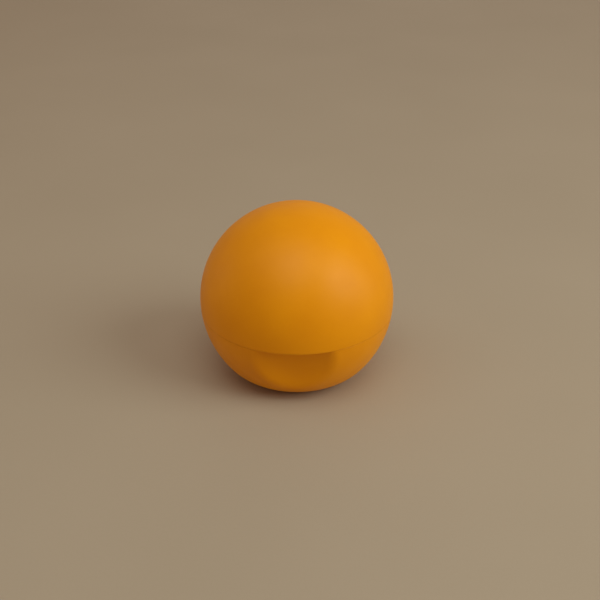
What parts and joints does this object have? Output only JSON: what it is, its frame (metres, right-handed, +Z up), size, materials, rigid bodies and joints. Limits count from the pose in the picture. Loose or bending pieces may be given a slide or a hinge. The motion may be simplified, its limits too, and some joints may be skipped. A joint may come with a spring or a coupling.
{
  "type": "ball lip balm container",
  "caption": "Ball-shaped lip balm container on a flat foot, with a thumb recess in the base and a quick-turn domed cap over a dome of balm.",
  "frame": {"origin": "centre of the flat foot, on the surface that the ball stands on", "axes": "+Z up along the thread axis; -Y towards the thumb recess"},
  "size_m": [0.04, 0.04, 0.0364],
  "materials": {
    "soft_touch_orange": "matt satin soft-touch coating",
    "satin_orange": "satin moulded plastic",
    "natural_white": "smooth natural polypropylene",
    "balm_wax": "soft waxy sheen",
    "label_film": "blank matt film"
  },
  "bodies": {
    "base": {"base_shell": "soft_touch_orange", "foot_label": "label_film", "neck_insert": "satin_orange", "balm_carrier": "natural_white", "balm": "balm_wax"},
    "cap_shell": {"cap_shell": "soft_touch_orange"},
    "cap_liner": {"cap_liner": "natural_white"}
  },
  "joints": [
    {"name": "cap_lift", "type": "slide", "parent": "base", "child": "cap_shell", "axis": [0, 0, 1], "range_m": [0, 0.0181]},
    {"name": "cap_turn", "type": "hinge", "parent": "cap_shell", "child": "cap_liner", "pos_m": [0, 0, 0.0155], "axis": [0, 0, 1], "range_deg": [0, 360]}
  ],
  "couplings": [
    {"joint": "cap_lift", "follows": "cap_turn", "m_per_rad": 0.0028648}
  ]
}
